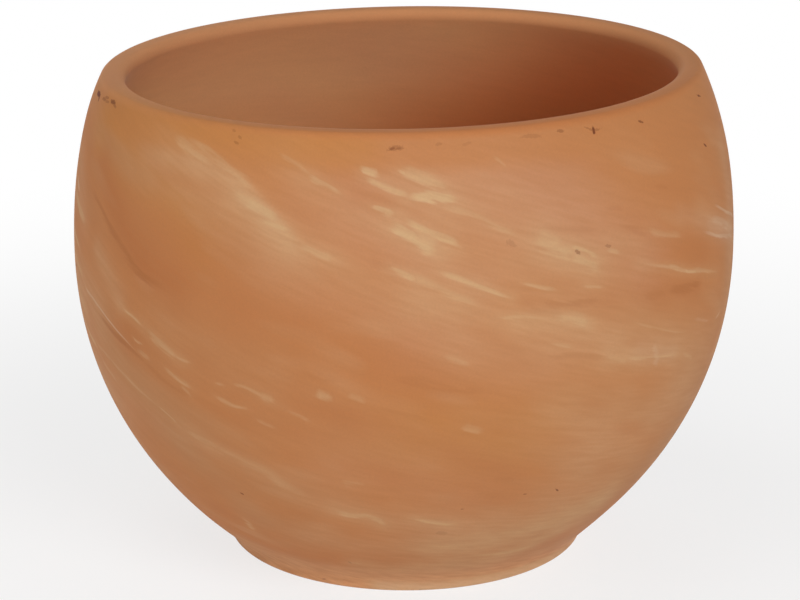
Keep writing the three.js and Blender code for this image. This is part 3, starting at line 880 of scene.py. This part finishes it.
def paint_marks(mesh):
    """Every mark as an attribute. Returns the names of the sharp layers by kind."""
    rng = np.random.default_rng(SEED)
    kinds = {
        "cream": shown(CREAM_STREAKS) + unseen_streaks(rng),
        "chalk": shown(CHALK_STREAKS) + drifting(rng, 12, (0.4, 0.9), (0.6, 1.6), 0.9, (6, 26)),
        "dark": shown(DARK_STREAKS) + drifting(rng, 16, (0.12, 0.4), (1.0, 2.2), 1.0, (14, 50)),
        "speck": shown(SPECKS, 2) + unseen_specks(rng),
    }
    names = {}
    for kind, marks in kinds.items():
        layers = sharp_layers(marks, speck_values if kind == "speck" else streak_values)
        names[kind] = [f"{kind}_{i}" for i in range(len(layers))]
        for name, layer in zip(names[kind], layers):
            store(mesh, name, layer)
    unseen = unseen_washes(rng)
    for name, marks in WASHES.items():
        around = haloes(kinds["cream"]) if name == "cream" else []
        store(mesh, name, wash(shown(marks) + unseen[name] + around))
    return names


def make_pot():
    mesh = bpy.data.meshes.new("terracotta_pot")
    mesh.from_pydata(POINTS.reshape(-1, 3), [], grid_faces(), shade_flat=False)
    unwrap(mesh)
    paint_charts(mesh)
    paint_zones(mesh)
    paint_swirls(mesh)
    pot = bpy.data.objects.new("terracotta_pot", mesh)
    bpy.context.scene.collection.objects.link(pot)
    return pot, paint_marks(mesh)


# ---- material ----

class Nodes:
    """Short calls that add shader nodes to a material or the world and give back their outputs."""

    def __init__(self, owner, shader="Principled BSDF"):
        owner.use_nodes = True
        self.tree = owner.node_tree
        self.shader = self.tree.nodes[shader]

    def put(self, socket, value):
        if isinstance(value, bpy.types.NodeSocket):
            self.tree.links.new(value, socket)
        else:
            socket.default_value = value

    def add(self, kind, inputs, **settings):
        node = self.tree.nodes.new("ShaderNode" + kind)
        for name, value in settings.items():
            setattr(node, name, value)
        for name, value in inputs.items():
            self.put(node.inputs[name], value)
        return node

    def attribute(self, name, output="Fac"):
        return self.add("Attribute", {}, attribute_name=name).outputs[output]

    def math(self, operation, a, b=0.0, clamp=False):
        return self.add("Math", {0: a, 1: b}, operation=operation, use_clamp=clamp).outputs[0]

    def split(self, vector):
        return self.add("SeparateXYZ", {0: vector}).outputs

    def noise(self, vector, scale, detail=2.0, roughness=0.5):
        inputs = {"Vector": vector, "Scale": scale, "Detail": detail, "Roughness": roughness}
        return self.add("TexNoise", inputs).outputs[0]

    def rescale(self, value, low, high, new_low=0.0, new_high=1.0, smooth=False):
        kind = "SMOOTHSTEP" if smooth else "LINEAR"
        inputs = {0: value, 1: low, 2: high, 3: new_low, 4: new_high}
        return self.add("MapRange", inputs, interpolation_type=kind, clamp=True).outputs[0]

    def blend(self, share, a, b, mode="MIX"):
        inputs = {0: share, 6: self.opaque(a), 7: self.opaque(b)}
        return self.add("Mix", inputs, data_type="RGBA", blend_type=mode).outputs[2]

    def opaque(self, colour):
        return colour if isinstance(colour, bpy.types.NodeSocket) else (*colour, 1)


def run_noise(nodes, length, width, detail, roughness):
    """Noise drawn out along the kneaded clay: length and width of its features in metres."""
    fields = []
    for chart in ("front_chart", "back_chart"):
        place = nodes.attribute(chart, "Vector")
        inputs = {"Vector": place, "Scale": (1 / length, 1 / width, DEPTH_SCALE)}
        stretched = nodes.add("Mapping", inputs).outputs[0]
        fields.append(nodes.noise(stretched, 1.0, detail, roughness))
    mix = {0: nodes.attribute("front_share"), 2: fields[1], 3: fields[0]}
    return nodes.add("Mix", mix, data_type="FLOAT").outputs[0]


def sharp_mask(nodes, names, wander, fibre):
    """Strongest of the sharp marks: wander moves a mark's edge and fibre thins it along its run."""
    total = None
    for name in names:
        across, strength, softness = nodes.split(nodes.attribute(name, "Vector"))
        away = nodes.math("ABSOLUTE", nodes.math("ADD", across, wander))
        crisp = nodes.math("SUBTRACT", 0.9, nodes.math("MULTIPLY", softness, 0.8))
        body = nodes.rescale(away, 1.35, crisp, smooth=True)
        value = nodes.math("MULTIPLY", body, strength)
        total = value if total is None else nodes.math("MAXIMUM", total, value)
    return nodes.math("MULTIPLY", total, fibre, clamp=True)


def speck_mask(nodes, names, wander):
    """Strongest of the specks, each with a slightly ragged outline."""
    total = None
    for name in names:
        place = nodes.attribute(name, "Vector")
        flat = nodes.add("VectorMath", {0: place, 1: (1, 1, 0)}, operation="MULTIPLY").outputs[0]
        away = nodes.add("VectorMath", {0: flat}, operation="LENGTH").outputs["Value"]
        body = nodes.rescale(nodes.math("ADD", away, wander), 1.2, 0.7, smooth=True)
        value = nodes.math("MULTIPLY", body, nodes.split(place)[2])
        total = value if total is None else nodes.math("MAXIMUM", total, value)
    return total


def ground_colour(nodes, short_run, collar, foot):
    """The kneaded clay under the streaks."""
    broad, short = nodes.attribute("broad_swirl"), nodes.attribute("short_swirl")
    plain = nodes.math("SUBTRACT", 1.0, nodes.math("MULTIPLY", collar, 0.75))
    brushed = nodes.rescale(short_run, *NOISE_SPAN, 0.75, 1.2)
    streaky = nodes.rescale(short_run, *NOISE_SPAN, 0.55, 0.85)
    mottles = (
        (nodes.rescale(broad, 0.2, 2.4, 0.0, 0.45), RUSSET),
        (nodes.rescale(broad, -0.2, -2.4, 0.0, 0.45), KHAKI),
        (nodes.attribute("russet"), RUSSET),
        (nodes.attribute("khaki"), KHAKI),
        (nodes.attribute("rose"), ROSE),
        (nodes.attribute("buff"), BUFF),
        (nodes.rescale(short, 0.6, 2.6, 0.0, 0.30), BUFF),
        (nodes.rescale(short, -0.6, -2.6, 0.0, 0.25), RUSSET),
        # Paler foot clay, partly painted light bounced from the floor.
        (nodes.math("MULTIPLY", foot, streaky), FOOT_CLAY_AND_BOUNCE),
        (nodes.attribute("cream"), CREAM),
        (nodes.attribute("chalk"), CHALK),
    )
    colour = nodes.blend(nodes.attribute("amber"), TERRACOTTA, AMBER)
    for share, clay in mottles:
        share = nodes.math("MULTIPLY", share, brushed)
        share = nodes.math("MULTIPLY", share, plain, clamp=True)
        colour = nodes.blend(share, colour, clay)
    return colour


def lining_colour(nodes):
    smears = nodes.rescale(nodes.attribute("broad_swirl"), -1.5, 2.0, 0.0, 0.35)
    pale = nodes.blend(smears, INSIDE, ROSE)
    # Painted shadow of the rim, red with its bounced light, then painted shade towards the +X wall and
    # lower down.
    rim_shadow = nodes.blend(nodes.attribute("rim_shadow"), pale, INSIDE_RIM_SHADOW)
    return nodes.blend(nodes.attribute("far_shade"), rim_shadow, INSIDE_FAR_SHADE)


def clay_colour(nodes, names):
    position = nodes.add("TexCoord", {}).outputs["Object"]
    inside, collar, foot = nodes.split(nodes.attribute("zones", "Vector"))
    short_run = run_noise(nodes, RUN_LENGTH, RUN_WIDTH, 3.0, 0.5)
    grain = nodes.noise(position, GRAIN_SCALE, 2.0, 0.6)
    colour = ground_colour(nodes, short_run, collar, foot)

    wander = nodes.rescale(short_run, *NOISE_SPAN, -0.7, 0.7)
    fibre = nodes.rescale(short_run, 0.3, 0.65, 0.65, 1.1)
    for kind, clay in (("dark", DARK_CLAY), ("cream", CREAM), ("chalk", CHALK)):
        colour = nodes.blend(sharp_mask(nodes, names[kind], wander, fibre), colour, clay)
    colour = nodes.blend(inside, colour, lining_colour(nodes))
    # Painted light on one side of the lip and on its inner edge; the red front lip is partly painted
    # shade against the sheen.
    for name, clay in (("lit_lip", LIP_HIGHLIGHT), ("red_shaded_lip", LIP_RED_SHADED), ("lit_inner_edge", LIP_HIGHLIGHT)):
        colour = nodes.blend(nodes.attribute(name), colour, clay)
    ragged = nodes.rescale(grain, *NOISE_SPAN, -0.3, 0.3)
    colour = nodes.blend(speck_mask(nodes, names["speck"], ragged), colour, SPECK)

    brushed = nodes.rescale(short_run, *NOISE_SPAN, -0.02, 0.02)
    light = nodes.math("ADD", nodes.rescale(grain, 0.25, 0.75, 0.97, 1.03), brushed)
    tint = nodes.add("CombineColor", {0: light, 1: light, 2: light}).outputs[0]
    return nodes.blend(1.0, colour, tint, "MULTIPLY"), grain


def terracotta(names):
    material = bpy.data.materials.new("terracotta")
    nodes = Nodes(material)
    colour, grain = clay_colour(nodes, names)
    shader = nodes.shader.inputs
    nodes.put(shader["Base Color"], colour)
    nodes.put(shader["Roughness"], nodes.rescale(grain, *NOISE_SPAN, 0.86, 0.97))
    shader["Specular IOR Level"].default_value = 0.3
    shader["Sheen Weight"].default_value = 0.12
    shader["Sheen Roughness"].default_value = 0.3
    shader["Sheen Tint"].default_value = (1.0, 0.86, 0.76, 1)
    bump = nodes.add("Bump", {"Height": grain, "Strength": 0.3, "Distance": GRAIN_HEIGHT})
    nodes.put(shader["Normal"], bump.outputs[0])
    return material


# ---- floor, world and lamps ----

def straight_ray(nodes):
    """1 where the camera sees a surface itself, or in a mirror or through glass, 0 for its light."""
    path = nodes.add("LightPath", {}).outputs
    seen = nodes.math("MAXIMUM", path["Is Camera Ray"], path["Is Glossy Ray"])
    return nodes.math("MAXIMUM", seen, path["Is Transmission Ray"])


def floor_material():
    """Pale paint that the camera sees as nearly white, with the pot's shadow left on it."""
    material = bpy.data.materials.new("floor")
    nodes = Nodes(material)
    paint = nodes.shader
    paint.inputs["Base Color"].default_value = (FLOOR_COLOUR, FLOOR_COLOUR, FLOOR_COLOUR, 1)
    paint.inputs["Roughness"].default_value = 1
    position = nodes.add("TexCoord", {}).outputs["Object"]
    reach = nodes.add("VectorMath", {0: position}, operation="LENGTH").outputs["Value"]
    glow = (FLOOR_GLOW_START, FLOOR_GLOW_END, FLOOR_GLOW_NEAR, FLOOR_GLOW_FAR)
    share = nodes.math("MULTIPLY", nodes.rescale(reach, *glow, smooth=True), straight_ray(nodes))
    # None of it under the pot, so that the drain hole looks dark from above.
    share = nodes.math("MULTIPLY", share, nodes.rescale(reach, DRAIN_RADIUS, RECESS_RADIUS))
    white = nodes.add("Emission", {}).outputs[0]
    mixed = nodes.add("MixShader", {0: share, 1: paint.outputs[0], 2: white}).outputs[0]
    nodes.put(nodes.tree.nodes["Material Output"].inputs["Surface"], mixed)
    return material


def make_floor():
    mesh = bpy.data.meshes.new("floor")
    signs = (-1, -1), (1, -1), (1, 1), (-1, 1)
    mesh.from_pydata([(x * FLOOR_HALF, y * FLOOR_HALF, 0) for x, y in signs], [], [(0, 1, 2, 3)])
    floor = bpy.data.objects.new("floor", mesh)
    bpy.context.scene.collection.objects.link(floor)
    mesh.materials.append(floor_material())


def make_light(name, azimuth, elevation, power):
    a, e = math.radians(azimuth), math.radians(elevation)
    back = Vector((math.sin(a) * math.cos(e), -math.cos(a) * math.cos(e), math.sin(e)))
    data = bpy.data.lights.new(name, "AREA")
    data.shape, data.size, data.energy = "DISK", LIGHT_WIDTH, power
    light = bpy.data.objects.new(name, data)
    light.location = Vector((0, 0, LIGHT_AIM)) + back * LIGHT_DISTANCE
    light.location.z = max(light.location.z, LOWEST_LIGHT)
    light.rotation_mode = "QUATERNION"
    light.rotation_quaternion = (-back).to_track_quat("-Z", "Y")
    bpy.context.scene.collection.objects.link(light)


def make_world():
    """White to the camera, and no light of its own."""
    world = bpy.data.worlds.new("world")
    nodes = Nodes(world, "Background")
    nodes.shader.inputs["Color"].default_value = (1, 1, 1, 1)
    nodes.put(nodes.shader.inputs["Strength"], straight_ray(nodes))
    bpy.context.scene.world = world


pot, mark_names = make_pot()
pot.data.materials.append(terracotta(mark_names))
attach(pot, "root")
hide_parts("pot_body")
make_floor()
make_world()
for light in LIGHTS:
    make_light(*light)
bpy.context.scene.view_settings.view_transform = "Standard"
